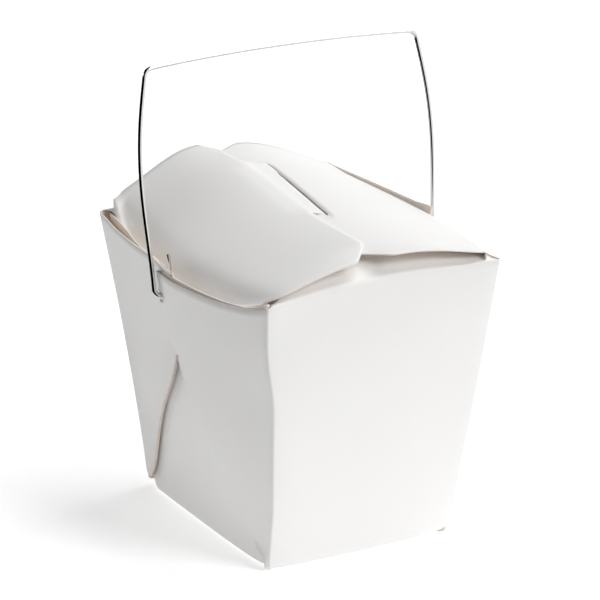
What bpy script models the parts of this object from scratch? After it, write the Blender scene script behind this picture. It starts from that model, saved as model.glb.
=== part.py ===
"""A folded-board takeaway pail, shut, with the wire bail that it is carried by.

The pail is one blank of coated board: a tapered box whose corner webs are folded flat over the
two wire sides and pinned there by the bail, and whose two lid flaps meet in a low ridge.
Sizes are millimetres, and MM turns them into metres. The foot stands on z = 0, the front wall
faces -Y, the wire sides face -X and +X, and the bail swings on an axis along X.
"""
import math

import bmesh
import bpy
from mathutils import Vector

MM = 0.001

# The box: half widths at the foot and at the rim, and the height of the rim's corners.
FOOT_X, FOOT_Y = 37.4, 44.7
RIM_X, RIM_Y = 48.4, 59.1
HEIGHT = 105.0
SIDE_BULGE = 9.3        # the belly of a wire side
SIDE_BULGE_FROM = 60.0  # the height at which that belly is full
WALL_BULGE = 1.8        # the slighter belly of the front and back walls
WALL_BULGE_TO = 0.95    # of the height
WALL_BULGE_SKEW = 0.6
TOP_PULL = 2.0          # the middle of a wall's top fold is pulled in this far
TOP_PULL_FROM = 0.85    # from this share of the height upwards
FOOT_ROUND = 2.4
FOLD_ROUND = 1.5

# Board thickness, and the webs' doubled board.
BOARD = 0.45
WEB = 2 * BOARD

# How far hand folding moved each corner of the rim (x, y, z) and of the foot (x, y).
RIM_SHIFT = {(-1, -1): (0.9, 0.0, -1.1), (1, -1): (-1.1, 0.0, 1.2),
             (-1, 1): (0.0, 1.6, 0.0), (1, 1): (0.0, 1.0, 3.4)}
FOOT_SHIFT = {(-1, -1): (-0.9, 1.0, 0.0), (1, -1): (-0.4, -0.9, 0.0),
              (-1, 1): (0.9, 0.6, 0.0), (1, 1): (0.0, 0.0, 0.0)}

# The webs over each wire side: where the diagonal fold stands at height z is foot + run*z + bend*z*z,
# measured towards the middle. A web on top ends at the hole, one beneath reaches past it.
WEB_ON_TOP = {"run": 0.490, "bend": 0.0, "tip": 0.5, "lift": WEB}
WEB_BENEATH = {"run": 0.930, "bend": -0.0025, "tip": 9.0, "lift": 0.15}
WEB_FOOT = 1.6
LAP_EASE = 9.0          # from a corner fold, the boards reach their full spacing in this distance
# How far the middle of the rim hangs below its corners, on each half of each wire side.
RIM_DIP = {(-1, -1): 3.7, (-1, 1): -0.3, (1, -1): 4.6, (1, 1): 1.5}

# The lid: crease lines, free edges and the slot and tab that lock the near flap.
CREASE_X, CREASE_BULGE = 47.6, 3.6
CREASE_Z, CREASE_DIP = 107.2, 5.2
LID_HALF = 57.6         # half the flaps' length along Y
LID_CHAMFER = 8.0
LID_BOARD = 0.8         # a flap with its coating and a little spring
FLAP_PARTING = 1.5      # the lid's height is the near flap's up to this far from its free edge
SKIRT = 6.0             # how far a flap's board hangs down outside its crease
DUST_DEPTH = 22.0       # how far the front and back flaps can be seen into
DUST_RISE = 0.7         # the dust flaps' soft fold stands this much over the walls
DUST_SOFT = 3.0         # and is this wide
DUST_SLOPE = 0.05       # then they rise this much per millimetre
VALLEY_TOP = 1.0        # behind the rim the valley's floor is this far below the rim's corners
VALLEY_DIP = 5.5        # and this much lower along nearly the whole side
VALLEY_SPREAD = 2.2

# A lid flap's free edge is at edge_x. Its height is edge_z in the middle and swings from the front
# to the back by swing each way. Between crease and edge the flap bows up by bow, front and back.
NEAR_FLAP = {"side": -1, "edge_x": -3.0, "edge_z": 120.3, "swing": 2.9, "swing_at": 6.0, "swing_over": 20.0,
             "bow": (0.8, 3.6), "bow_skew": 1.6}
FAR_FLAP = {"side": 1, "edge_x": -7.0, "edge_z": 117.6, "swing": 3.8, "swing_at": 2.0, "swing_over": 34.0,
            "bow": (2.3, 5.0), "bow_skew": 1.2}

# The bail: round wire in one plane, bent up inside the holes.
PIVOT_Z = 92.3
WIRE = 1.55
BAIL_LEAN = math.radians(8.3)
TAIL_X, TAIL_TOP = 52.2, 14.1
LEG_FOOT, LEG_TOP, LEG_BOW = (58.2, 3.0), (56.0, 76.0), 3.2
BAR_END_Z, BAR_ARCH = 79.7, 2.0
SHOULDER_X = 56.2
SHOULDER_INSET = 0.4
BAR_FROM, BAR_TO = 50.0, 10.0
FOOT_BEND, SHOULDER_BEND = 1.8, 3.2
HOLE = 4.4
HOLE_REACH = 62.0       # the hole's cutter ends outside the widest board
POCKET_ROOM = 0.38      # free space on each side of the wire inside the wall
POCKET_BELOW = 11.6     # the tail never turns lower than this under the pivot
POCKET_OVER_TIP = 0.8   # free space over the tail's tip


def mix(a, b, t):
    return a + (b - a) * t


def clamp(t):
    return max(0.0, min(1.0, t))


def ease(t):
    t = clamp(t)
    return t * t * (3 - 2 * t)


def half_x(z):
    return mix(FOOT_X, RIM_X, z / HEIGHT)


def half_y(z):
    return mix(FOOT_Y, RIM_Y, z / HEIGHT)


def settle(x, y, z):
    """Moves an ideal point to where the hand-folded box has it."""
    up = clamp(z / HEIGHT)
    u = clamp((x / half_x(min(z, HEIGHT)) + 1) / 2)
    v = clamp((y / half_y(min(z, HEIGHT)) + 1) / 2)
    shift = [0.0, 0.0, 0.0]
    for table, share in ((FOOT_SHIFT, 1 - up), (RIM_SHIFT, up)):
        for (sx, sy), offset in table.items():
            weight = share * (u if sx > 0 else 1 - u) * (v if sy > 0 else 1 - v)
            for axis in range(3):
                shift[axis] += weight * offset[axis]
    return Vector(((x + shift[0]) * MM, (y + shift[1]) * MM, (z + shift[2]) * MM))


def belly(y, z):
    """1 in the middle of a wire side, 0 at its corners."""
    return max(0.0, 1 - (y / half_y(z)) ** 2)


def side_skin(y, z):
    """The outermost board of a wire side, as a distance from the middle plane."""
    return half_x(z) + SIDE_BULGE * math.sin(clamp(z / SIDE_BULGE_FROM) * math.pi / 2) * belly(y, z)


def side_step(y, z):
    """How much of the boards' thickness counts here: none at a corner's fold, all further in."""
    return ease((half_y(z) - abs(y)) / LAP_EASE)


def wall_skin(x, z):
    """The front or back wall, as a distance from the middle plane."""
    across = max(0.0, 1 - (x / half_x(z)) ** 2)
    full = math.sin(clamp(z / (WALL_BULGE_TO * HEIGHT)) ** WALL_BULGE_SKEW * math.pi)
    pulled_in = TOP_PULL * ease((z / HEIGHT - TOP_PULL_FROM) / (1 - TOP_PULL_FROM))
    return half_y(z) + (WALL_BULGE * full - pulled_in) * across


def new_object(name, mesh_builder, colour, roughness, metallic=0.0):
    mesh = bpy.data.meshes.new(name)
    bm = bmesh.new()
    mesh_builder(bm)
    bmesh.ops.recalc_face_normals(bm, faces=bm.faces)
    bm.to_mesh(mesh)
    bm.free()
    thing = bpy.data.objects.new(name, mesh)
    bpy.context.collection.objects.link(thing)
    paint(thing, name, colour, roughness, metallic)
    return thing


def paint(thing, name, colour, roughness, metallic):
    material = bpy.data.materials.new(name)
    material.use_nodes = True
    shader = material.node_tree.nodes["Principled BSDF"]
    shader.inputs["Base Color"].default_value = (*colour, 1.0)
    shader.inputs["Roughness"].default_value = roughness
    shader.inputs["Metallic"].default_value = metallic
    thing.data.materials.append(material)


WHITE_BOARD = ((0.86, 0.85, 0.84), 0.55)
STEEL = ((0.62, 0.62, 0.61), 0.22, 1.0)


def combine(target, other, operation):
    """Joins or cuts with a helper solid that stays out of the finished part."""
    other.hide_render = True
    other.display_type = "WIRE"
    step = target.modifiers.new(other.name, "BOOLEAN")
    step.operation = operation
    step.solver = "EXACT"
    step.object = other


def two_skins(rows, columns, face, back):
    """Builds a closed board from the grids face(u, v) and back(u, v), with u and v from 0 to 1."""
    def build(bm):
        grids = []
        for skin in (face, back):
            grids.append([[bm.verts.new(skin(i / rows, j / columns)) for j in range(columns + 1)]
                          for i in range(rows + 1)])
        for grid in grids:
            for i in range(rows):
                for j in range(columns):
                    bm.faces.new((grid[i][j], grid[i + 1][j], grid[i + 1][j + 1], grid[i][j + 1]))
        rim = ([(i, 0) for i in range(rows)] + [(rows, j) for j in range(columns)]
               + [(i, columns) for i in range(rows, 0, -1)] + [(0, j) for j in range(columns, 0, -1)])
        for (i, j), (k, m) in zip(rim, rim[1:] + rim[:1]):
            bm.faces.new((grids[0][i][j], grids[0][k][m], grids[1][k][m], grids[1][i][j]))
    return build


# ---- the box ------------------------------------------------------------------------------

WALL_STEPS, SIDE_STEPS, CORNER_STEPS = 12, 16, 2


def ring(z, inset=0.0):
    """One level of the box, anticlockwise from the front left corner, as (x, y, wire side share)."""
    hx, hy = half_x(z) - inset, half_y(z) - inset
    r = FOLD_ROUND
    points = []

    def corner(cx, cy, start):
        for k in range(1, CORNER_STEPS):
            a = math.radians(start + 90 * k / CORNER_STEPS)
            points.append((cx + r * math.cos(a), cy + r * math.sin(a), 0.5))

    def wall(sign):
        for k in range(WALL_STEPS + 1):
            x = sign * mix(-(hx - r), hx - r, k / WALL_STEPS)
            points.append((x, -sign * (wall_skin(x, z) - inset), 0.0))

    def side(sign):
        for k in range(SIDE_STEPS + 1):
            y = sign * mix(-(hy - r), hy - r, k / SIDE_STEPS)
            skin = side_skin(y, z) - inset - 2 * WEB * side_step(y, z)
            points.append((sign * skin, y, 1.0))

    wall(1)
    corner(hx - r, -(hy - r), 270)
    side(1)
    corner(hx - r, hy - r, 0)
    wall(-1)
    corner(-(hx - r), hy - r, 90)
    side(-1)
    corner(-(hx - r), -(hy - r), 180)
    return points


def valley_floor(y):
    """Behind a web's rim the box ends in a narrow valley, where the lid flap's crease lies."""
    return HEIGHT - VALLEY_TOP - VALLEY_DIP * clamp(VALLEY_SPREAD * belly(y, HEIGHT))


CORE_FLOOR = 90.0
CORE_MARGIN = 0.4

# The rows of the box's top: how far in from the front and back walls, and from a wire side's crease.
DECK_ROWS = ((1.2, 0.3), (3.5, 0.5), (6.5, 6.5), (DUST_DEPTH, 20.0), (40.0, 38.0))


def deck_height(x, y, inset):
    """The top of the box: the dust flaps, no higher than the lid, and the valleys beside the lid."""
    if crease(y)[0] - abs(x) < LID_BOARD / 2:
        return valley_floor(y)
    dust_flap = HEIGHT + DUST_RISE * ease(inset / DUST_SOFT) + DUST_SLOPE * inset
    return min(dust_flap, lid_middle(x, y))


def build_box(bm):
    rings = []
    for k in range(4):
        turn = math.radians(90 * k / 3)
        z = FOOT_ROUND * (1 - math.sin(turn))
        rings.append([settle(x, y, z) for x, y, _ in ring(z, FOOT_ROUND * (1 - math.cos(turn)))])
    rings.reverse()
    levels = 11
    for k in range(1, levels + 1):
        t = k / levels
        level = []
        for x, y, wire_side in ring(mix(FOOT_ROUND, HEIGHT, t)):
            top = mix(HEIGHT, valley_floor(y), 1.0 if wire_side == 1.0 else 0.0)
            level.append(settle(x, y, mix(FOOT_ROUND, top, t)))
        rings.append(level)
    # the soft fold from the front and back walls into the dust flaps, then their plane
    for inset, from_crease in DECK_ROWS:
        level = []
        for x, y, wire_side in ring(HEIGHT):
            y *= 1 - inset / RIM_Y
            along_wall = x * (1 - inset / RIM_X)
            x = mix(along_wall, math.copysign(crease(y)[0] - from_crease, x), wire_side)
            level.append(settle(x, y, deck_height(x, y, inset)))
        rings.append(level)
    levels = [[bm.verts.new(point) for point in level] for level in rings]
    count = len(levels[0])
    for low, high in zip(levels, levels[1:]):
        for k in range(count):
            n = (k + 1) % count
            bm.faces.new((low[k], low[n], high[n], high[k]))
    bm.faces.new(levels[0])
    bm.faces.new(levels[-1])
    bmesh.ops.triangulate(bm, faces=[face for face in bm.faces if len(face.verts) > 4])


def rim_height(y, sign):
    end = -1 if y < 0 else 1
    return HEIGHT - RIM_DIP[(sign, end)] * (1 - abs(y / RIM_Y) ** 3)


WEB_LEAST = 0.6         # a web is never narrower than this, down at the foot
WEB_SINK = 0.6          # its inner face lies this deep in the box, up to this far below the valley
RIM_STEP = 1.5          # over this height it thins to the free rim
WEB_CORNER_SHARE = 0.35  # and at a corner's fold it has this share of its thickness


def web(sign, end, kind):
    """One corner web over the wire side at sign, folded from the wall at end."""
    def place(u, v, depth):
        top = rim_height(end * 0.5, sign) if u < 0.5 else HEIGHT
        z = mix(WEB_FOOT, top, v)
        corner = half_y(z) - FOLD_ROUND
        reach = kind["run"] * z + kind["bend"] * z * z
        edge = min(max(FOOT_Y - reach, -kind["tip"]), corner - WEB_LEAST)
        y = end * mix(edge, corner, u)
        z = mix(WEB_FOOT, rim_height(y, sign), v)
        lift = side_step(y, z) * (WEB - kind["lift"])
        below = valley_floor(y) - WEB_SINK
        thick = mix(2 * WEB + WEB_SINK, WEB, ease((z - below) / RIM_STEP))
        thick *= mix(WEB_CORNER_SHARE, 1.0, side_step(y, z))
        x = side_skin(y, z) - lift - (depth * thick)
        return settle(sign * x, y, z)
    return two_skins(10, 16, lambda u, v: place(u, v, 0.0), lambda u, v: place(u, v, 1.0))


# ---- the lid ------------------------------------------------------------------------------

def crease(y):
    """The fold line of a lid flap: distance from the middle plane, and height."""
    bow = max(0.0, 1 - (y / RIM_Y) ** 2)
    return CREASE_X + CREASE_BULGE * bow, CREASE_Z - CREASE_DIP * bow


def flap_at(flap, x, y):
    """The height of a lid flap's upper face over (x, y)."""
    crease_x, crease_z = crease(y)
    crease_x *= flap["side"]
    p = (x - crease_x) / (flap["edge_x"] - crease_x)
    edge_z = flap["edge_z"] + flap["swing"] * math.tanh((y - flap["swing_at"]) / flap["swing_over"])
    bow = mix(*flap["bow"], (y / LID_HALF + 1) / 2) * math.sin(math.pi * max(p, 0.0) ** flap["bow_skew"])
    return mix(crease_z, edge_z, p) + bow


def lid_middle(x, y):
    """The height of the middle of the lid's board over (x, y)."""
    flap = NEAR_FLAP if x < NEAR_FLAP["edge_x"] - FLAP_PARTING else FAR_FLAP
    return flap_at(flap, x, y) - LID_BOARD / 2


def lid_flap(flap):
    """A lid flap with its two free corners cut off, hanging from a skirt behind the rim."""
    rows = 16
    skirt_rows = 2

    def place(u, v, depth):
        y = mix(-LID_HALF, LID_HALF, v)
        crease_x = crease(y)[0] * flap["side"]
        cut = max(0.0, LID_CHAMFER - (LID_HALF - abs(y)))
        row = round(u * rows)
        if row < skirt_rows:
            z = flap_at(flap, crease_x, y) - SKIRT * (1 - row / skirt_rows)
            return settle(crease_x - flap["side"] * depth * LID_BOARD, y, z)
        edge_x = flap["edge_x"] + flap["side"] * cut
        x = mix(crease_x, edge_x, (row - skirt_rows) / (rows - skirt_rows))
        z = flap_at(flap, x, y)
        if row == skirt_rows:
            x -= flap["side"] * depth * LID_BOARD
        return settle(x, y, z - depth * LID_BOARD)
    return two_skins(rows, 16, lambda u, v: place(u, v, 0.0), lambda u, v: place(u, v, 1.0))


def build_core(bm):
    """The shut pail's fill under the lid, from one crease to the other and between the dust flaps."""
    depth = RIM_Y - DUST_DEPTH

    def place(u, v, low):
        y = mix(-depth, depth, v)
        crease_x = crease(y)[0] - CORE_MARGIN
        x = mix(-crease_x, crease_x, u)
        return settle(x, y, CORE_FLOOR if low else lid_middle(x, y))
    two_skins(18, 10, lambda u, v: place(u, v, False), lambda u, v: place(u, v, True))(bm)


TAB_FRONT, TAB_BACK = -13.0, 25.0
TAB_DEPTH = 4.3         # the tongue and the fill under it, down to the far flap
TAB_ROOT, TAB_SINK = 1.0, 0.3
SLOT_WIDTH = 0.9
SLOT_FRONT_X, SLOT_BACK_X = 2.2, 6.4
SLOT_FRONT_SPARE, SLOT_BACK_SPARE = 3.0, 5.0
SLOT_ABOVE, SLOT_BELOW = 1.5, 1.2


def slot_line(v):
    """The slot in the far flap that the near flap's tab dives into, as (x, y)."""
    return mix(SLOT_FRONT_X, SLOT_BACK_X, v), mix(TAB_FRONT - SLOT_FRONT_SPARE, TAB_BACK + SLOT_BACK_SPARE, v)


def tab():
    """The tongue on the near flap's free edge, bending down into the slot."""
    def place(u, v, depth):
        start_y = mix(TAB_FRONT, TAB_BACK, v)
        end_x, end_y = slot_line(v)
        start_x = NEAR_FLAP["edge_x"] - TAB_ROOT
        x, y = mix(start_x, end_x, u), mix(start_y, end_y, u)
        z = mix(flap_at(NEAR_FLAP, start_x, start_y), flap_at(FAR_FLAP, end_x, end_y) - TAB_SINK, ease(u))
        return settle(x, y, z - depth * TAB_DEPTH)
    return two_skins(5, 8, lambda u, v: place(u, v, 0.0), lambda u, v: place(u, v, 1.0))


def slot():
    def place(u, v, depth):
        x, y = slot_line(v)
        return settle(x + u * SLOT_WIDTH, y, flap_at(FAR_FLAP, x, y) + mix(SLOT_ABOVE, -SLOT_BELOW, depth))
    return two_skins(1, 8, lambda u, v: place(u, v, 0.0), lambda u, v: place(u, v, 1.0))


# ---- the room for the bail's ends ---------------------------------------------------------

def round_room(sign, radius, near, far):
    """A round cutter on the pivot axis, between two distances from the middle plane."""
    def build(bm):
        bmesh.ops.create_cone(bm, cap_ends=True, segments=32, radius1=radius * MM, radius2=radius * MM,
                              depth=(far - near) * MM)
        for vert in bm.verts:
            x, y, z = vert.co
            vert.co = (z + sign * (near + far) / 2 * MM, y, max(-x, -POCKET_BELOW * MM) + PIVOT_Z * MM)
    return build


def build_carton():
    carton = new_object("carton", build_box, *WHITE_BOARD)
    combine(carton, new_object("core", build_core, *WHITE_BOARD), "UNION")
    for sign in (-1, 1):
        for kind, end in ((WEB_BENEATH, -sign), (WEB_ON_TOP, sign)):
            name = f"web_{'near' if sign < 0 else 'far'}_{'front' if end < 0 else 'back'}"
            combine(carton, new_object(name, web(sign, end, kind), *WHITE_BOARD), "UNION")
    combine(carton, new_object("far_flap", lid_flap(FAR_FLAP), *WHITE_BOARD), "UNION")
    combine(carton, new_object("near_flap", lid_flap(NEAR_FLAP), *WHITE_BOARD), "UNION")
    combine(carton, new_object("tab", tab(), *WHITE_BOARD), "UNION")
    combine(carton, new_object("slot", slot(), *WHITE_BOARD), "DIFFERENCE")
    room = WIRE / 2 + POCKET_ROOM
    for sign in (-1, 1):
        pocket = round_room(sign, TAIL_TOP + WIRE / 2 + POCKET_OVER_TIP, TAIL_X - room, TAIL_X + room)
        combine(carton, new_object(f"pocket{sign:+d}", pocket, *WHITE_BOARD), "DIFFERENCE")
        hole = round_room(sign, HOLE / 2, TAIL_X, HOLE_REACH)
        combine(carton, new_object(f"hole{sign:+d}", hole, *WHITE_BOARD), "DIFFERENCE")
    return carton


# ---- the bail -----------------------------------------------------------------------------

def rounded(points, radii):
    """Replaces each inner point of a bent line with an arc of its radius."""
    path = [Vector(points[0])]
    for before, here, after, radius in zip(points, points[1:], points[2:], radii):
        here = Vector(here)
        towards = (Vector(before) - here).normalized()
        onwards = (Vector(after) - here).normalized()
        half = towards.angle(onwards) / 2
        if radius == 0 or half > math.radians(88):
            path.append(here)
            continue
        start = here + towards * (radius / math.tan(half))
        centre = here + (towards + onwards).normalized() * (radius / math.sin(half))
        sweep = math.pi - 2 * half
        outward = (start - centre).normalized()
        steps = 6
        for k in range(steps + 1):
            a = sweep * k / steps
            path.append(centre + radius * (outward * math.cos(a) - towards * math.sin(a)))
    path.append(Vector(points[-1]))
    return path


def bail_path():
    """The wire's middle line in the bail's own plane: x across, z up from the pivot."""
    (foot_x, foot_z), (top_x, top_z) = LEG_FOOT, LEG_TOP
    half = [(TAIL_X, TAIL_TOP, 0), (TAIL_X, 0.0, FOOT_BEND), (foot_x, 0.0, FOOT_BEND)]
    leg_points = 9
    for k in range(leg_points):
        t = k / (leg_points - 1)
        bow = LEG_BOW * (1 - (2 * t - 1) ** 2)
        half.append((mix(foot_x, top_x, t) + bow, mix(foot_z, top_z, t), 0))
    half.append((SHOULDER_X - SHOULDER_INSET, BAR_END_Z, SHOULDER_BEND))
    bar_points = 5
    for k in range(bar_points):
        x = mix(BAR_FROM, BAR_TO, k / (bar_points - 1))
        half.append((x, BAR_END_Z + BAR_ARCH * (1 - (x / SHOULDER_X) ** 2), 0))
    left = [(-x, 0.0, z) for x, z, _ in half]
    right = [(x, 0.0, z) for x, z, _ in reversed(half)]
    radii = [r for _, _, r in half] + [r for _, _, r in reversed(half)]
    return rounded(left + right, radii[1:-1])


def build_bail():
    wire = bpy.data.curves.new("bail", "CURVE")
    wire.dimensions = "3D"
    wire.bevel_depth = WIRE / 2 * MM
    wire.bevel_resolution = 2
    wire.use_fill_caps = True
    path = bail_path()
    spline = wire.splines.new("POLY")
    spline.points.add(len(path) - 1)
    for point, place in zip(spline.points, path):
        point.co = (*(place * MM), 1.0)
    bail = bpy.data.objects.new("bail", wire)
    bpy.context.collection.objects.link(bail)
    paint(bail, "bail", *STEEL)
    bail.location = (0.0, 0.0, PIVOT_Z * MM)
    bail.rotation_euler = (-BAIL_LEAN, 0.0, 0.0)
    return bail


for thing in list(bpy.data.objects):
    bpy.data.objects.remove(thing, do_unlink=True)
build_carton()
build_bail()
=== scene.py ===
"""The dressed noodle takeaway box: folded white board and a wire bail round its CAD frame."""
import math

import bmesh
import bpy
from mathutils import Matrix, Vector


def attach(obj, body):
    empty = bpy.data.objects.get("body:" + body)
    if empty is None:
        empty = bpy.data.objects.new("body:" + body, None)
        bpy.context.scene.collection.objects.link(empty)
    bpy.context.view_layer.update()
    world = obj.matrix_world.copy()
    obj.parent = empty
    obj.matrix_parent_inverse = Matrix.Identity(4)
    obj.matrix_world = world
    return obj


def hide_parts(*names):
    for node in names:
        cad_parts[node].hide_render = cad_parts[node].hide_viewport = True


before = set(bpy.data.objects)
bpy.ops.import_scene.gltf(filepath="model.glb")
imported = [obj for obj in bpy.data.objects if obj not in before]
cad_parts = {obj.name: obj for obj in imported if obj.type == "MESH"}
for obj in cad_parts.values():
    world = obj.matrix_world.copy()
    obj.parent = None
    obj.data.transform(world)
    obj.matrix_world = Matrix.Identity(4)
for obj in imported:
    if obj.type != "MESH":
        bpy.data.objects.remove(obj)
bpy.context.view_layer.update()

# Lengths in this file are millimetres until MM turns them into metres. The two wire sides are
# NEAR, at -x, and FAR, at +x; the two walls are FRONT, at -y, and BACK, at +y. A corner is a pair
# of these, and a lid flap is named after its wire side.
MM = 0.001
NEAR, FAR = -1, 1
FRONT, BACK = -1, 1


def mix(a, b, t):
    return a + (b - a) * t


def clamp(t):
    return max(0.0, min(1.0, t))


def ease(t):
    t = clamp(t)
    return t * t * (3 - 2 * t)


def rise(value, start, length):
    """0 up to start, 1 from start + length on, and a smooth step between."""
    return ease((value - start) / length)


def fall(value, end, length):
    """1 up to end - length, 0 from end on, and a smooth step between."""
    return ease((end - value) / length)


def sign(value):
    return 1 if value > 0 else -1


def mesh_of(bm, name):
    """Turns a finished bmesh into a mesh."""
    mesh = bpy.data.meshes.new(name)
    bm.to_mesh(mesh)
    bm.free()
    return mesh


def placed(name, data):
    """Puts a mesh, curve, lamp or camera in the scene as an object."""
    thing = bpy.data.objects.new(name, data)
    bpy.context.collection.objects.link(thing)
    return thing


def settled_mesh(piece):
    """Turns what the modifiers make of a piece into its own mesh."""
    bpy.context.view_layer.update()
    depsgraph = bpy.context.evaluated_depsgraph_get()
    made = bpy.data.meshes.new_from_object(piece.evaluated_get(depsgraph))
    piece.modifiers.clear()
    piece.data = made


# ---- The box as it was folded --------------------------------------------------------------
# Every board is laid out on the ideal tapered box first. settle() then moves it to where hand
# folding left it.
BOARD = 0.42
LAP = 0.88  # the room that one doubled web takes
SLACK = 0.03  # the air between two boards
FOOT_X, FOOT_Y = 37.4, 44.7
RIM_X, RIM_Y = 48.4, 59.1
HEIGHT = 105.0
SIDE_BULGE, SIDE_BULGE_FROM = 9.3, 60.0
WALL_BULGE, WALL_FOOT_BULGE, WALL_PULLED_IN = 0.5, 1.8, 2.2

FOOT_ROUND = 1.4
CORNER_ROUND = {(NEAR, FRONT): 2.0, (NEAR, BACK): 0.6, (FAR, FRONT): 3.2, (FAR, BACK): 3.0}
# Where the corners of rim and foot ended up, as shifts in x, y and z.
RIM_SHIFT = {
    (NEAR, FRONT): (0.9, 0.0, -1.1),
    (FAR, FRONT): (-1.1, 0.0, 1.2),
    (NEAR, BACK): (0.0, 1.6, 0.0),
    (FAR, BACK): (0.0, 1.0, 3.4),
}
FOOT_SHIFT = {
    (NEAR, FRONT): (-0.9, 1.0, 0.0),
    (FAR, FRONT): (-0.4, -0.9, 0.0),
    (NEAR, BACK): (0.9, 0.6, 0.0),
    (FAR, BACK): (0.0, 0.0, 0.0),
}
# How far the corner folds bow in x, y and z, and how far along the walls that reaches.
NEAR_FRONT_BOW, NEAR_BACK_BOW, FAR_FRONT_BOW = (2.7, -1.7, 0), (1.1, 0, 0), (0.6, 0, 0)
NEAR_FRONT_BOW_SHARE = 0.72
BOW_REACH = 17
# The back corner of the near side does not quite reach the table.
LIFTED_CORNER = 2.8
LIFTED_FROM_Y, LIFTED_OVER_Y, LIFTED_OVER_X, LIFTED_OVER_Z = 36, 6.4, 8, 12

# The two webs of a wire side overlap from here upwards, and spread apart towards the rim.
OVERLAP_SIDEWAYS = 9.0
OVERLAP_FROM, OVERLAP_UPWARDS = 52.0, 22.0
TOP_WEB_SPREAD, UNDER_WEB_SPREAD = 0.4, 3.1


def half_x(z):
    return mix(FOOT_X, RIM_X, z / HEIGHT)


def half_y(z):
    return mix(FOOT_Y, RIM_Y, z / HEIGHT)


def edge_bow(x, y, z):
    """How hand folding moved the long corner folds sideways between foot and rim."""
    level = min(z, HEIGHT)
    low = NEAR_FRONT_BOW_SHARE * fall(z, 90, 26) * (0.5 + 0.5 * ease(z / 28))
    belly = math.sin(math.pi * clamp(z / HEIGHT))
    moved = Vector((0, 0, 0))
    for side, end, bow, amount in (
        (NEAR, FRONT, NEAR_FRONT_BOW, low),
        (NEAR, BACK, NEAR_BACK_BOW, belly),
        (FAR, FRONT, FAR_FRONT_BOW, belly),
    ):
        away = math.hypot(x - side * half_x(level), y - end * half_y(level))
        moved += Vector(bow) * amount * math.exp(-(away / BOW_REACH) ** 2)
    return moved


def settle(x, y, z):
    """Moves a point of the ideal box to where hand folding left it, in metres."""
    up = clamp(z / HEIGHT)
    level = min(z, HEIGHT)
    u = clamp((x / half_x(level) + 1) / 2)
    v = clamp((y / half_y(level) + 1) / 2)
    moved = Vector((x, y, z)) + edge_bow(x, y, z)
    for shifts, share in ((FOOT_SHIFT, 1 - up), (RIM_SHIFT, up)):
        for (side, end), shift in shifts.items():
            to_side = u if side == FAR else 1 - u
            to_end = v if end == BACK else 1 - v
            moved += Vector(shift) * share * to_side * to_end
    to_back = clamp((y - LIFTED_FROM_Y) / LIFTED_OVER_Y) ** 1.6
    at_side = math.exp(-((x + FOOT_X) / LIFTED_OVER_X) ** 2)
    moved.z += LIFTED_CORNER * to_back * at_side * (1 - ease(z / LIFTED_OVER_Z))
    return moved * MM


def side_skin(y, z):
    """The outermost board of a wire side, as a distance from the middle plane."""
    belly = max(0.0, 1 - (y / half_y(z)) ** 2)
    return half_x(z) + SIDE_BULGE * math.sin(clamp(z / SIDE_BULGE_FROM) * math.pi / 2) * belly


def wall_skin(x, z):
    """The front or back wall, as a distance from the middle plane."""
    across = max(0.0, 1 - (x / half_x(z)) ** 2)
    full = math.sin(clamp(z / HEIGHT) * math.pi)
    pulled_in = WALL_PULLED_IN * rise(z, 0.8 * HEIGHT, 0.2 * HEIGHT)
    at_foot = clamp(1 - z / 40) ** 2
    return half_y(z) + (WALL_BULGE * full - pulled_in + WALL_FOOT_BULGE * at_foot) * across


def overlap(y, z):
    """1 where both webs lie over a wire-side panel, 0 at the corner folds and low down."""
    return fall(abs(y), half_y(z), OVERLAP_SIDEWAYS) * rise(z, OVERLAP_FROM, OVERLAP_UPWARDS)


def bare_foot(y, z):
    """1 along the foot of a wire side, where no web covers the panel."""
    return (1 - ease(z / 14)) * ease((half_y(z) - abs(y) - 1.1 * z - 1) / 5)


def spread(side, y, z):
    """How far a web's inner half and the panel behind it stand away from its outer half."""
    if y * side > 0:
        return TOP_WEB_SPREAD * rise(z, 84, 18) * (1 - (y / half_y(z)) ** 2)
    return UNDER_WEB_SPREAD * rise(abs(y), 8, 32) * rise(z, 60, 40)


def foot_inset(z, radius):
    """How far a bent foot edge of this radius draws the walls in at height z."""
    return radius * (1 - math.sqrt(max(0.0, 1 - (1 - min(z, radius) / radius) ** 2)))


def side_foot(side, y, z):
    """The inset of a wire side's foot, whose bend changes towards each corner."""
    near_corner = ease((abs(y) - half_y(z) + OVERLAP_SIDEWAYS) / OVERLAP_SIDEWAYS)
    return foot_inset(z, mix(FOOT_ROUND, CORNER_ROUND[(side, sign(y))], near_corner))


# ---- The shut lid --------------------------------------------------------------------------
# The near flap lies over the far one. Each is given by its depth p, from 0 at its crease to 1 at
# its free edge, and by y along the crease.
LID_HALF = 57.6
CREASE_LEVEL = 103
CREASE_Z = {NEAR: 102.2, FAR: 103.4}
FREE_EDGE_X = {NEAR: -3.0, FAR: -7.0}
FREE_EDGE_Z = {NEAR: 120.3, FAR: 117.6}
# The near flap is pressed in along its crease; the valley's floor and its fade are shares of p.
VALLEY_DEPTH, VALLEY_FLOOR, VALLEY_FADE = 7.5, 0.085, 0.055
CHAMFER = 8.0
CHAMFER_SHARE = {(NEAR, FRONT): 0.19, (NEAR, BACK): 0.12, (FAR, FRONT): 0.22, (FAR, BACK): 0.28}
TAB_FRONT, TAB_BACK = -12.1, 33.7
TAB_DIVE = 0.7
SLOT_FRONT, SLOT_BACK = (-14.4, 3.6), (33.6, 7.5)  # as (y, x)
SLOT_WIDTH, SLOT_LIP = 0.5, 0.25


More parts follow.
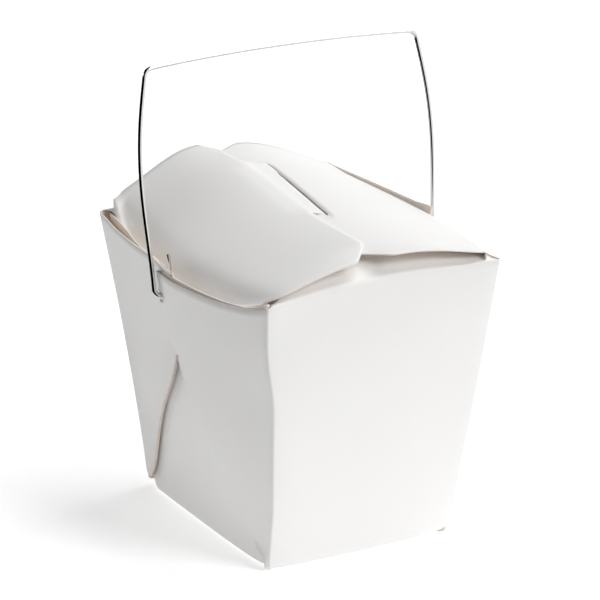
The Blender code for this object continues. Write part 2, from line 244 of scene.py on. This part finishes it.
def crease(side, y):
    """A lid flap's fold line: distance from the middle plane, height, and how far it is sunk."""
    bow = max(0.0, 1 - (y / LID_HALF) ** 2)
    skin = side_skin(y, CREASE_LEVEL)
    if side == NEAR:
        inward = 2.1 + 0.5 * bow + 2.5 * rise(y, 5, 35)
        height = CREASE_Z[NEAR] + (4.7 * (y / 58) ** 2 if y < 0 else 7.4 * (y / 57) ** 4)
        return skin - inward, height, VALLEY_DEPTH * bow ** 0.6
    inward = 2.7 + 3.1 * rise(-y, 46, 12) - 1.7 * rise(y, 44, 14)
    height = CREASE_Z[FAR] + 2.6 * abs(y / 52) ** 2.4 + 1.5 * rise(-y, 48, 10)
    return skin - inward, height, 0.0


def near_flap(p, y):
    """A point of the near flap: its distance from the middle plane and its height."""
    x0, z0, sunk = crease(NEAR, y)
    end = FREE_EDGE_Z[NEAR] + 2.9 * math.tanh((y - 6) / 20)
    bow = mix(0.8, 3.6, (y / LID_HALF + 1) / 2) * math.sin(math.pi * p ** 1.6)
    bow -= 2.8 * p * p * rise(-y, 47, 10.6)
    # the free edge is drawn down where the tab leaves it
    past_front, before_back = ease((y - TAB_FRONT + 4) / 10), fall(y, TAB_BACK + 2, 10)
    bow -= 0.9 * rise(p, 0.86, 0.14) * past_front * before_back
    valley = sunk * math.exp(-max(0.0, p - VALLEY_FLOOR) / VALLEY_FADE)
    return mix(x0, -FREE_EDGE_X[NEAR], p), mix(z0, end, p) + bow - valley


def far_flap(p, y):
    """A point of the far flap, likewise."""
    x0, z0, _ = crease(FAR, y)
    end = FREE_EDGE_Z[FAR] + 3.8 * math.tanh((y - 2) / 34)
    bow = mix(2.3, 5.0, (y / LID_HALF + 1) / 2) * math.sin(math.pi * p ** 1.2)
    return mix(x0, FREE_EDGE_X[FAR], p), mix(z0, end, p) + bow


def lid_height(x, y):
    """The height of the shut lid's upper face over (x, y)."""
    if x < FREE_EDGE_X[NEAR]:
        x0 = crease(NEAR, y)[0]
        return near_flap(clamp((x0 + x) / (x0 + FREE_EDGE_X[NEAR])), y)[1]
    x0 = crease(FAR, y)[0]
    return far_flap(clamp((x0 - x) / (x0 - FREE_EDGE_X[FAR])), y)[1]


def cut_corner(side, y):
    """The share of a flap's depth that is left where its free corners are cut off."""
    share = CHAMFER_SHARE[(side, sign(y))]
    return 1 - share * max(0.0, CHAMFER - LID_HALF + abs(y)) / CHAMFER


def slot_x(y):
    """Where the slot lies in the far flap."""
    along = (y - SLOT_FRONT[0]) / (SLOT_BACK[0] - SLOT_FRONT[0])
    return mix(SLOT_FRONT[1], SLOT_BACK[1], along)


# ---- The board -----------------------------------------------------------------------------
# White clay-coated board: a smooth, slightly mottled face, a warm beige back and a cut edge
# that shows the pulp. The back's beige is partly its own colour and partly painted light: it
# warms the shade in gaps, folds and under the lid. Sizes in materials are in metres.
# material slots: the coated face, the back (whose warm beige also serves as painted shade) and the
# cut edge
FACE, BACK_AND_SHADE, CUT = 0, 1, 2


def new_material(name):
    finish = bpy.data.materials.new(name)
    finish.use_nodes = True
    tree = finish.node_tree
    return finish, tree.nodes, tree.links, tree.nodes["Principled BSDF"]


def dial(node, values):
    """Sets inputs of a node to constants."""
    for socket, value in values.items():
        node.inputs[socket].default_value = value
    return node


def board_face(name, colour, warm, roughness, grain):
    """Board with a faint cloudiness in its colour, a fine tooth and slow waves from the folding."""
    finish, nodes, links, shader = new_material(name)
    dial(shader, {"Specular IOR Level": 0.35})
    place = nodes.new("ShaderNodeTexCoord")

    def noise(scale, detail):
        texture = dial(nodes.new("ShaderNodeTexNoise"), {"Scale": scale, "Detail": detail})
        links.new(place.outputs["Object"], texture.inputs["Vector"])
        return texture.outputs["Fac"]

    def bump(height, strength, distance):
        relief = dial(nodes.new("ShaderNodeBump"), {"Strength": strength, "Distance": distance})
        links.new(height, relief.inputs["Height"])
        return relief

    cloud = noise(38.0, 5.0)
    shade = nodes.new("ShaderNodeMix")
    shade.data_type = "RGBA"
    dial(shade, {6: (*colour, 1.0), 7: (*warm, 1.0)})
    links.new(cloud, shade.inputs[0])
    links.new(shade.outputs[2], shader.inputs["Base Color"])

    tooth = noise(2600.0, 4.0)
    polish = nodes.new("ShaderNodeMapRange")
    dial(polish, {"To Min": roughness - 0.06, "To Max": roughness + 0.06})
    links.new(tooth, polish.inputs["Value"])
    links.new(polish.outputs["Result"], shader.inputs["Roughness"])
    fine = bump(tooth, grain, 0.00005)

    buckle = bump(noise(26.0, 2.0), 0.35, 0.0004)
    links.new(fine.outputs["Normal"], buckle.inputs["Normal"])
    links.new(buckle.outputs["Normal"], shader.inputs["Normal"])
    return finish


coated_face = board_face("coated_face", (0.90, 0.895, 0.885), (0.875, 0.868, 0.858), 0.46, 0.25)
# the back's warm beige is partly painted shade, which warms the light in gaps, folds and under the
# lid
warm_back_and_shade = board_face("warm_back_and_shade", (0.86, 0.78, 0.71), (0.82, 0.73, 0.65), 0.75, 0.5)
cut_edge = board_face("cut_edge", (0.86, 0.80, 0.75), (0.80, 0.72, 0.66), 0.85, 0.8)


def board(name, columns, rows, place, flip=False, gap=None, painted_shade=None):
    """A sheet of board whose outer face goes through place(column, row), with a cut edge all round.

    gap says for a cell of the sheet whether it is cut out, and the last argument whether its outer
    face takes the warm back colour as painted shade.
    """
    bm = bmesh.new()
    bmesh.ops.create_grid(bm, x_segments=columns, y_segments=rows, size=0.5)
    cut = []
    for face in bm.faces:
        middle = face.calc_center_median()
        cell = int((middle.x + 0.5) * columns), int((middle.y + 0.5) * rows)
        face.material_index = BACK_AND_SHADE if painted_shade and painted_shade(*cell) else FACE
        if gap and gap(*cell):
            cut.append(face)
    for vert in bm.verts:
        vert.co = place(round((vert.co.x + 0.5) * columns), round((vert.co.y + 0.5) * rows))
    bmesh.ops.delete(bm, geom=cut, context="FACES")
    bmesh.ops.remove_doubles(bm, verts=bm.verts, dist=0.02 * MM)
    bmesh.ops.dissolve_degenerate(bm, dist=0.01 * MM, edges=bm.edges)
    if flip:
        bmesh.ops.reverse_faces(bm, faces=bm.faces)
    sheet = mesh_of(bm, name)
    skin_faces = len(sheet.polygons)
    piece = placed(name, sheet)
    wall = piece.modifiers.new("thickness", "SOLIDIFY")
    wall.thickness = BOARD * MM
    wall.offset = -1.0
    wall.use_even_offset = False
    settled_mesh(piece)
    # the modifier's faces are the outer skin, the inner skin and then the cut edge
    for index, face in enumerate(piece.data.polygons):
        face.use_smooth = index < 2 * skin_faces
        if index >= skin_faces:
            face.material_index = BACK_AND_SHADE if index < 2 * skin_faces else CUT
    for finish in (coated_face, warm_back_and_shade, cut_edge):
        piece.data.materials.append(finish)
    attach(piece, "carton")
    return piece


# ---- The long strip ------------------------------------------------------------------------
# Foot, wire-side panels, lid flaps and the lid's tab are one strip of the board blank. It runs
# from the tab over the near flap, down the near panel, under the foot, up the far panel and over
# the far flap.
TAB_ROWS, FLAP_ROWS, PANEL_ROWS, FOOT_ROWS, STRIP_COLUMNS = 6, 26, 30, 22, 48
SLOT_ROW = 19
NARROWED = 0.035  # the near side's share of width lost at its crease
FOOT_FLAT, FOOT_BEND = 0.82, 0.18  # shares of the foot's rows


def far_row(row, y):
    """A point of the far flap, which has one row of cells along the slot for the tab."""
    x0 = crease(FAR, y)[0]
    depth = x0 - FREE_EDGE_X[FAR]
    slot_far, slot_near = ((x0 - slot_x(y) - width) / depth for width in (SLOT_WIDTH, 0))
    if row <= SLOT_ROW:
        p = slot_far * row / SLOT_ROW
    else:
        p = mix(slot_near, 1.0, (row - SLOT_ROW - 1) / (FLAP_ROWS - SLOT_ROW - 1))
    x, z = far_flap(p * cut_corner(FAR, y), y)
    lip = SLOT_LIP * rise(y, -20, 8) * fall(y, 38, 8) * math.exp(-abs(p - slot_far) / 0.05)
    return x, z + (lip if row <= SLOT_ROW else -lip)


def tab_row(u, y):
    """A point of the tab, from the near flap's free edge at u = 0 down into the slot at u = 1."""
    if not TAB_FRONT < y < TAB_BACK:
        u = 0.0
    start_x, start_z = near_flap(cut_corner(NEAR, y), y)
    end_x = slot_x(y) + 0.4
    end_z = lid_height(end_x, y) + 0.2
    dive = TAB_DIVE * rise(u, 0.8, 0.2)
    return mix(-start_x, end_x, u), mix(start_z, end_z, math.sin(u * math.pi / 2)) - dive


def panel_row(side, t, v):
    """A point of a wire-side panel, t from the foot's fold to the lid's crease."""
    x0, z0, sunk = crease(side, v * LID_HALF)
    z1 = z0 - sunk - 0.4
    z = mix(FOOT_ROUND, z1, t)
    y = v * (half_y(z) - mix(0.9, 1.5, t) - 0.8 * foot_inset(z, 4.5))
    layers = 1 + overlap(y, z) - bare_foot(y, z)
    x = side_skin(y, z) - LAP * layers - SLACK - spread(side, y, z)
    x -= side_foot(side, y, z) - foot_inset(z, FOOT_ROUND)
    if side == NEAR:
        y *= 1 - NARROWED * rise(z, 96, 9)
    return mix(x, x0 + 0.05, rise(z, 88, z1 - 88)), y, z


def foot_row(t, v):
    """A point of the foot, t from -1 at the near side to 1 at the far side."""
    y = v * (FOOT_Y - 2.0 - 2.4 * max(0.0, abs(t) - 0.8) / 0.2)
    flat = side_skin(y, 0) - LAP * (1 - bare_foot(y, 0)) - FOOT_ROUND - 1.2 * abs(v) ** 12
    turn = max(0.0, abs(t) - FOOT_FLAT) / FOOT_BEND * math.pi / 2
    x = flat * min(abs(t) / FOOT_FLAT, 1.0) + FOOT_ROUND * math.sin(turn)
    z = BOARD + FOOT_ROUND * (1 - math.cos(turn)) * (1 - BOARD / FOOT_ROUND)
    return math.copysign(x, t), y, z


def strip_place(column, row):
    """A point of the strip, handed from one stretch of its rows to the next."""
    v = 2 * column / STRIP_COLUMNS - 1
    y = v * LID_HALF
    if row < TAB_ROWS:
        x, z = tab_row(1 - row / TAB_ROWS, y)
        return settle(x, y, z)
    row -= TAB_ROWS
    if row <= FLAP_ROWS:
        p = 1 - row / FLAP_ROWS
        x, z = near_flap(p * cut_corner(NEAR, y), y)
        return settle(-x, y * (1 - NARROWED * ease(1 - p / 0.16)), z)
    row -= FLAP_ROWS
    if row <= PANEL_ROWS:
        x, y, z = panel_row(NEAR, 1 - (row - 1) / (PANEL_ROWS - 1), v)
        return settle(-x, y, z)
    row -= PANEL_ROWS
    if row < FOOT_ROWS:
        return settle(*foot_row(2 * row / FOOT_ROWS - 1, v))
    row -= FOOT_ROWS
    if row < PANEL_ROWS:
        return settle(*panel_row(FAR, row / (PANEL_ROWS - 1), v))
    x, z = far_row(row - PANEL_ROWS, y)
    return settle(x, y, z)


def slot_cell(column, row):
    """Whether a cell of the strip belongs to the slot for the tab."""
    first_far_row = TAB_ROWS + FLAP_ROWS + 2 * PANEL_ROWS + FOOT_ROWS
    y = (2 * (column + 0.5) / STRIP_COLUMNS - 1) * LID_HALF
    return row == first_far_row + SLOT_ROW and SLOT_FRONT[0] - 1 < y < SLOT_BACK[0] + 1


strip_rows = TAB_ROWS + 2 * FLAP_ROWS + 2 * PANEL_ROWS + FOOT_ROWS
strip = board("long_strip", STRIP_COLUMNS, strip_rows, strip_place, gap=slot_cell)
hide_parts("carton")

# ---- The two wraps -------------------------------------------------------------------------
# The front wall with its dust flap, and the two webs that are folded double and laid over the
# wire sides, where they join the panels again. The back wall's wrap is the same blank turned half
# round.
WALL_COLUMNS, CORNER_COLUMNS, WEB_COLUMNS = 36, 4, 24
NOSE_COLUMNS, RETURN_COLUMNS, ROLL_COLUMNS = 4, 14, 6
LIP_ROWS, WALL_ROWS, DUST_ROWS = 3, 44, 14
ROW_CROWDING = 1.25  # the rows of a wall lie closer together towards its foot
FOLD_ROUND, ROLL_ROUND = 0.8, 0.9
FOOT_LIP = 2.0
# The rim of each web: its height in the middle, its rise to the corner, and how late it rises.
RIM_LINE = {
    (NEAR, FRONT): (100.7, 3.8, 4.6),
    (NEAR, BACK): (105.8, -1.3, 1.5),
    (FAR, BACK): (104.1, 2.2, 3.0),
    (FAR, FRONT): (100.7, 4.2, 2.6),
}
# A dust flap turns over softly in the first share of its rows, and runs on level from there.
DUST_TURN, DUST_RUN, DUST_TAPER = 0.3, 36, 0.14
DUST_DROP, DUST_CREST, DUST_RISE = 1.8, 2.2, 7.0


def top_run(z):
    """How far the fold of a web on top has moved away from its corner at height z."""
    return (2.8 + 0.46 * z) * clamp((z - 3) / 5) ** 1.3


def under_run(z):
    """How far the fold of a web underneath has moved away from its corner at height z."""
    return 1.02 * z - 0.0035 * z * z + 0.5 * ease(z / 20) - 1.6 * rise(z, 58, 16)


# Both runs stop at a tip near the middle; under is the depth of the web below the other one.
WEB_TOP = {"run": top_run, "tip": 0.5, "under": 0.0}
WEB_UNDER = {"run": under_run, "tip": 9.5, "under": LAP + SLACK}


def rim_height(side, end, y, inner):
    """The height of a web's rim at y, for its outer or its inner half."""
    middle, corner_rise, late = RIM_LINE[(side, end)]
    height = middle + corner_rise * abs(y / 58) ** late
    if side == end:
        height += 0.9 * fall(y * end, 12, 12)
        if inner and side == NEAR:
            height += 1.5 * (1 - abs(y / 58) ** 1.5) + 1.6 * rise(abs(y), 50, 7)
    elif side == NEAR:
        height -= 2.4 * fall(y, 6, 12)
    return height


def web_point(side, end, kind, z_share, where, inner):
    """A point of a web.

    where is the distance from the web's diagonal fold towards its corner, in shares of its width.
    It is negative round the fold itself, and above 1 where the inner half rolls up at the corner.
    """
    z = z_share * rim_height(side, end, end * 0.5, False)
    corner = half_y(z) - FOLD_ROUND
    edge = min(max(FOOT_Y - kind["run"](z), -kind["tip"]), corner - 0.3)
    # the under web's inner half shows a little way past its fold
    peeps_out = kind is WEB_UNDER and inner
    tucked = -0.4 - 1.9 * rise(z, 8, 50) * fall(z, 74, 3) if peeps_out else 0.0
    y = end * mix(edge + tucked, corner - (1.3 if inner else 0.0), clamp(where))
    under = 0.0
    if where < 0:
        turn = -where * math.pi
        y -= end * (-1.0 if kind is WEB_UNDER else LAP / 2) * math.sin(turn)
        under = LAP * (1 - math.cos(turn)) / 2
    elif inner:
        under = LAP
        if where > 1:
            turn = min(where - 1, 1.0) * math.pi
            y += end * (ROLL_ROUND * math.sin(turn) - 2.5 * max(0.0, where - 2))
            under += ROLL_ROUND * (1 - math.cos(turn))
    z = z_share * rim_height(side, end, y, inner)
    if inner or where < 0:
        z = max(z, BOARD + SLACK)
    opened = spread(side, y, z) if inner else 0.0
    from_fold = abs(end * y - edge)
    if kind is WEB_UNDER:
        lift = 1.5 * math.exp(-from_fold / 6) * fall(z, 73.5, 2) * ease(z / 6)
    else:
        lift = 1.2 * math.exp(-from_fold / 3) * fall(z, 11, 5)
    depth = kind["under"] * overlap(y, z)
    x = side_skin(y, z) - depth - under - opened + lift - side_foot(side, y, z)
    return side * x, y, z


def dust_flap(end, x, y, over):
    """The flap that a wall's soft top fold leads into, resting under the lid."""
    turn = min(over / DUST_TURN, 1.0) * math.pi / 2
    run = max(0.0, over - DUST_TURN) * DUST_RUN
    crest = 0.3 + DUST_CREST * max(0.0, 1 - ((x + 8) / 42) ** 2)
    middle = max(0.0, 1 - (x / 50) ** 4)
    x *= 1 - DUST_TAPER * over
    y -= end * (DUST_DROP * (1 - math.cos(turn)) + run)
    z = HEIGHT + crest * math.sin(turn) + DUST_RISE * middle * (1 - math.exp(-run / 9))
    return x, y, min(z, lid_height(x, y) - 1.0)


def wrap(end, name):
    """One wall with its dust flap and webs; end is FRONT or BACK.

    The columns run from the wall's middle round the corner, along a web's outer half, round its
    nose at the diagonal fold, and back along its inner half to a small roll at the corner.
    """
    wall_half = WALL_COLUMNS // 2
    outer_columns = wall_half + CORNER_COLUMNS + WEB_COLUMNS
    half = outer_columns + NOSE_COLUMNS + RETURN_COLUMNS + ROLL_COLUMNS

    def place(column, row):
        side = sign(column - half)
        beyond = abs(column - half) - wall_half
        lip = max(0, LIP_ROWS - row) / LIP_ROWS
        z_share = clamp((row - LIP_ROWS) / WALL_ROWS) ** ROW_CROWDING
        over = max(0, row - LIP_ROWS - WALL_ROWS) / DUST_ROWS
        z = HEIGHT * z_share
        corner_round = CORNER_ROUND[(side, end)]
        corner_x = half_x(z) - foot_inset(z, corner_round) - FOLD_ROUND
        x = side * clamp(1 + min(beyond, 0) / wall_half) * corner_x
        inset = foot_inset(z, mix(FOOT_ROUND, corner_round, abs(x / corner_x) ** 8))
        y = end * (wall_skin(x, z) - inset - FOOT_LIP * lip)
        if over:
            return settle(*dust_flap(end, x, y, over))
        if beyond <= 0 or lip:
            return settle(x, y, z)
        if beyond < CORNER_COLUMNS:
            turn = beyond / CORNER_COLUMNS * math.pi / 2
            x += side * FOLD_ROUND * math.sin(turn)
            return settle(x, y - end * FOLD_ROUND * (1 - math.cos(turn)), z)
        kind = WEB_TOP if side == end else WEB_UNDER
        beyond -= CORNER_COLUMNS
        if beyond <= WEB_COLUMNS:
            where, inner = 1 - beyond / WEB_COLUMNS, False
            return settle(*web_point(side, end, kind, z_share, where, inner))
        beyond -= WEB_COLUMNS
        if beyond <= NOSE_COLUMNS:
            where, inner = -beyond / (NOSE_COLUMNS + 1), False
            return settle(*web_point(side, end, kind, z_share, where, inner))
        beyond -= NOSE_COLUMNS
        if beyond <= RETURN_COLUMNS:
            where = beyond / RETURN_COLUMNS
        else:
            where = 1 + (beyond - RETURN_COLUMNS) / (ROLL_COLUMNS - 1)
        return settle(*web_point(side, end, kind, z_share, where, True))

    # the nose and inner half of each web take the warm back colour on their outer face: painted
    # shade for the brown shadow in and beside the fold
    def fold_in_painted_shade(column, row):
        return abs(column + 0.5 - half) > outer_columns + 1

    def beside_flaps(column, row):
        beside = abs(column + 0.5 - half) > wall_half
        return beside and not LIP_ROWS <= row < LIP_ROWS + WALL_ROWS

    rows = LIP_ROWS + WALL_ROWS + DUST_ROWS
    flip = end == BACK
    return board(name, 2 * half, rows, place, flip=flip, gap=beside_flaps, painted_shade=fold_in_painted_shade)


front_wrap = wrap(FRONT, "front_wrap")
back_wrap = wrap(BACK, "back_wrap")

# A hole is punched through all the boards of each wire side for the bail's foot.
HOLE = 4.4
PIVOT_Z = 92.3
PUNCH_X, PUNCH_DEPTH = 52, 20
bm = bmesh.new()
for side in (NEAR, FAR):
    centre = Matrix.Translation((side * PUNCH_X * MM, 0, PIVOT_Z * MM))
    bmesh.ops.create_cone(
        bm,
        cap_ends=True,
        segments=40,
        radius1=HOLE / 2 * MM,
        radius2=HOLE / 2 * MM,
        depth=PUNCH_DEPTH * MM,
        matrix=centre @ Matrix.Rotation(math.pi / 2, 4, "Y"),
    )
punch = placed("punch", mesh_of(bm, "punch"))
for piece in (strip, front_wrap, back_wrap):
    hole = piece.modifiers.new("hole", "BOOLEAN")
    hole.object = punch
    hole.operation = "DIFFERENCE"
    hole.solver = "EXACT"
    settled_mesh(piece)
bpy.data.objects.remove(punch)

# ---- The bail ------------------------------------------------------------------------------
# One bright galvanised wire, bent square at the crossbar and hooked through a hole in each wire
# side, where its short tails stand up behind the boards. Its middle line is given for one half,
# from the tail's tip to the crossbar, as (x, height above the pivot).
WIRE = 1.55
LEAN = 8.3
TAIL_X, TAIL_TOP = 51.7, 14.1
LEG_FOOT_X, LEG_TOP_X, LEG_FOOT_Z, LEG_TOP_Z = 58.2, 56.0, 3.0, 76.0
LEG_STEPS, LEG_BULGE = 12, 3.1
CROSSBAR_HALF, CROSSBAR_Z, CROSSBAR_RISE = 56.2, 79.7, 2.0
CORNER_CUTS = 2

half_bail = [(TAIL_X, TAIL_TOP), (TAIL_X, 1.9), (53.6, 0.0), (56.4, 0.0), (LEG_FOOT_X, 1.8)]
for step in range(LEG_STEPS + 1):
    up = step / LEG_STEPS
    bulge = LEG_BULGE * math.sin(math.pi * up ** 1.3)
    half_bail.append((mix(LEG_FOOT_X, LEG_TOP_X, up) + bulge, mix(LEG_FOOT_Z, LEG_TOP_Z, up)))
half_bail += [(55.6, 78.2), (54.0, CROSSBAR_Z)]
for x in (50.0, 40.0, 30.0, 20.0, 10.0):
    half_bail.append((x, CROSSBAR_Z + CROSSBAR_RISE * (1 - (x / CROSSBAR_HALF) ** 2)))
middle_line = [(-x, z) for x, z in half_bail] + [(x, z) for x, z in reversed(half_bail)]
for _ in range(CORNER_CUTS):
    # cutting every corner of the line turns its bends into curves
    cut = [middle_line[0]]
    for (x0, z0), (x1, z1) in zip(middle_line, middle_line[1:]):
        cut += [(mix(x0, x1, share), mix(z0, z1, share)) for share in (0.25, 0.75)]
    middle_line = cut + [middle_line[-1]]

bend = bpy.data.curves.new("bail_wire", "CURVE")
bend.dimensions = "3D"
bend.bevel_depth = WIRE / 2 * MM
bend.bevel_resolution = 5
bend.use_fill_caps = True
line = bend.splines.new("POLY")
line.points.add(len(middle_line) - 1)
pivot = Matrix.Translation((0, 0, PIVOT_Z * MM))
leaning = pivot @ Matrix.Rotation(-math.radians(LEAN), 4, "X")
for point, (x, z) in zip(line.points, middle_line):
    point.co = (*(leaning @ Vector((x * MM, 0, z * MM))), 1.0)
drawn = placed("drawn_wire", bend)
bail = placed("bail_wire", bpy.data.meshes.new_from_object(drawn))
bpy.data.objects.remove(drawn)
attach(bail, "bail")
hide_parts("bail")

steel, _, _, wire_shader = new_material("bright_wire")
dial(wire_shader, {"Base Color": (0.66, 0.66, 0.65, 1.0), "Metallic": 1.0, "Roughness": 0.09})
bail.data.materials.append(steel)

# ---- Floor, light and camera ---------------------------------------------------------------
# A white table, itself glowing as painted light, under an even studio sky, with large soft lamps to
# the front right and overhead and a low window to the back left. Sizes and places of the floor and
# lamps are in metres.
WHITE = (1.0, 1.0, 1.0, 1.0)


def facing_glow(nodes, links, source, direction, limits, levels):
    """A smooth step between two levels along a direction."""
    facing = nodes.new("ShaderNodeVectorMath")
    facing.operation = "DOT_PRODUCT"
    facing.inputs[1].default_value = direction
    links.new(source, facing.inputs[0])
    glow = nodes.new("ShaderNodeMapRange")
    glow.interpolation_type = "SMOOTHSTEP"
    dial(glow, {"From Min": limits[0], "From Max": limits[1]})
    dial(glow, {"To Min": levels[0], "To Max": levels[1]})
    links.new(facing.outputs["Value"], glow.inputs["Value"])
    return glow.outputs["Result"]


bm = bmesh.new()
bmesh.ops.create_grid(bm, x_segments=1, y_segments=1, size=3.0)
floor = placed("floor", mesh_of(bm, "floor"))
paint, nodes, links, table_shader = new_material("glowing_white_table")
dial(table_shader, {"Base Color": (0.95, 0.95, 0.95, 1.0), "Roughness": 0.9})
dial(table_shader, {"Emission Color": WHITE})
# the table glows, painted light that keeps it white and lights the box from below; the glow ends
# a little in front of the box, to the left, so the near side's front gets less of it
table_place = nodes.new("ShaderNodeTexCoord").outputs["Object"]
table_glow = facing_glow(nodes, links, table_place, (-0.6, -0.8, 0.0), (0.11, 0.26), (0.43, 0.0))
links.new(table_glow, table_shader.inputs["Emission Strength"])
floor.data.materials.append(paint)
floor.visible_glossy = False

scene = bpy.context.scene
scene.view_settings.view_transform = "Standard"
sky = bpy.data.worlds.new("studio")
sky.use_nodes = True
nodes, links = sky.node_tree.nodes, sky.node_tree.links
heading = nodes.new("ShaderNodeTexCoord").outputs["Generated"]
# the even backdrop lights the board; in the wire's reflections a bright window stands out from a
# dark room
strength = nodes.new("ShaderNodeMix")
links.new(nodes.new("ShaderNodeLightPath").outputs["Is Glossy Ray"], strength.inputs["Factor"])
backdrop = facing_glow(nodes, links, heading, (-0.1, 0.99, 0.0), (-0.6, 0.6), (0.04, 0.25))
window = facing_glow(nodes, links, heading, (0.94, -0.34, 0.0), (0.05, 0.3), (0.0, 1.15))
links.new(backdrop, strength.inputs[2])
links.new(window, strength.inputs[3])
links.new(strength.outputs[0], nodes["Background"].inputs["Strength"])
dial(nodes["Background"], {"Color": WHITE})
scene.world = sky


def soft_lamp(name, power, size, place, towards):
    lamp = bpy.data.lights.new(name, "AREA")
    lamp.energy = power
    lamp.size = size
    holder = placed(name, lamp)
    holder.location = place
    aim = Vector(towards) - Vector(place)
    holder.rotation_euler = aim.to_track_quat("-Z", "Y").to_euler()


soft_lamp("front_lamp", 46.0, 1.2, (1.25, -2.25, 1.85), (0, 0, 0.06))
soft_lamp("overhead_lamp", 10.5, 1.0, (0.6, 0.0, 1.2), (0, 0, 0.1))
soft_lamp("left_window", 8.5, 0.9, (-1.5, 1.5, 0.7), (0, 0, 0.08))

AZIMUTH, ELEVATION, TILT = math.radians(-31.22), math.radians(19.46), math.radians(0.674)
DISTANCE, SHIFT_RIGHT, TARGET_Z = 1129.9, 0.98, 80.96
turned = Matrix.Rotation(AZIMUTH, 4, "Z") @ Matrix.Rotation(math.pi / 2 - ELEVATION, 4, "X")
right, back = turned.col[0].to_3d(), turned.col[2].to_3d()
lens = bpy.data.cameras.new("camera")
lens.lens = 188.58
lens.sensor_width = 36.0
lens.clip_start = 0.05
camera = placed("camera", lens)
eye = Vector((0, 0, TARGET_Z)) + right * SHIFT_RIGHT + back * DISTANCE
camera.matrix_world = Matrix.Translation(eye * MM) @ turned @ Matrix.Rotation(TILT, 4, "Z")
scene.camera = camera
